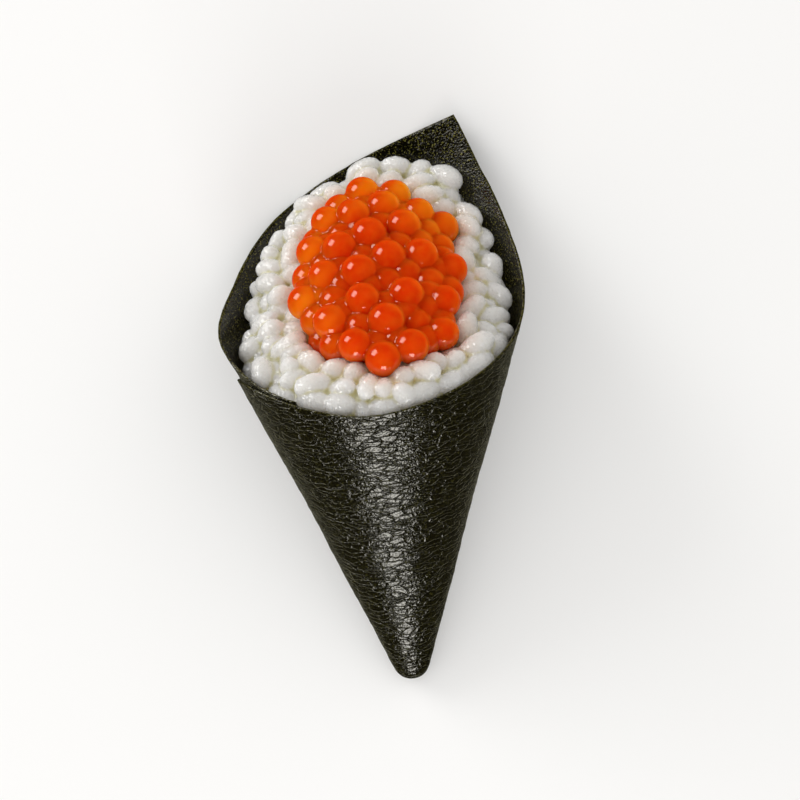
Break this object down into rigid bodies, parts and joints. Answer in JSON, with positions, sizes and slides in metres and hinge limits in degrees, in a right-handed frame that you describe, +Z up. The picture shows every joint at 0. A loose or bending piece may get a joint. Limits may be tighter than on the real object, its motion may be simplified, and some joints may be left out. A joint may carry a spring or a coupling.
{
  "type": "temaki hand roll",
  "caption": "Cone-shaped sushi hand roll: a wound sheet of roasted seaweed filled with rice, topped with a heap of salmon roe. It lies on its side.",
  "frame": {"origin": "middle of the narrow flat strip that the roll rests on", "axes": "+Y from the closed tip towards the mouth, +Z up with the mouth's upper side shown, +X to the right seen from the tip"},
  "size_m": [0.0542, 0.1002, 0.0363],
  "materials": {
    "seaweed": "wrinkled, satin",
    "cooked_rice": "moist, slightly see-through",
    "salmon_roe": "wet, clear"
  },
  "bodies": {
    "root": {"nori": "seaweed", "rice": "cooked_rice", "roe": "salmon_roe"}
  },
  "joints": []
}
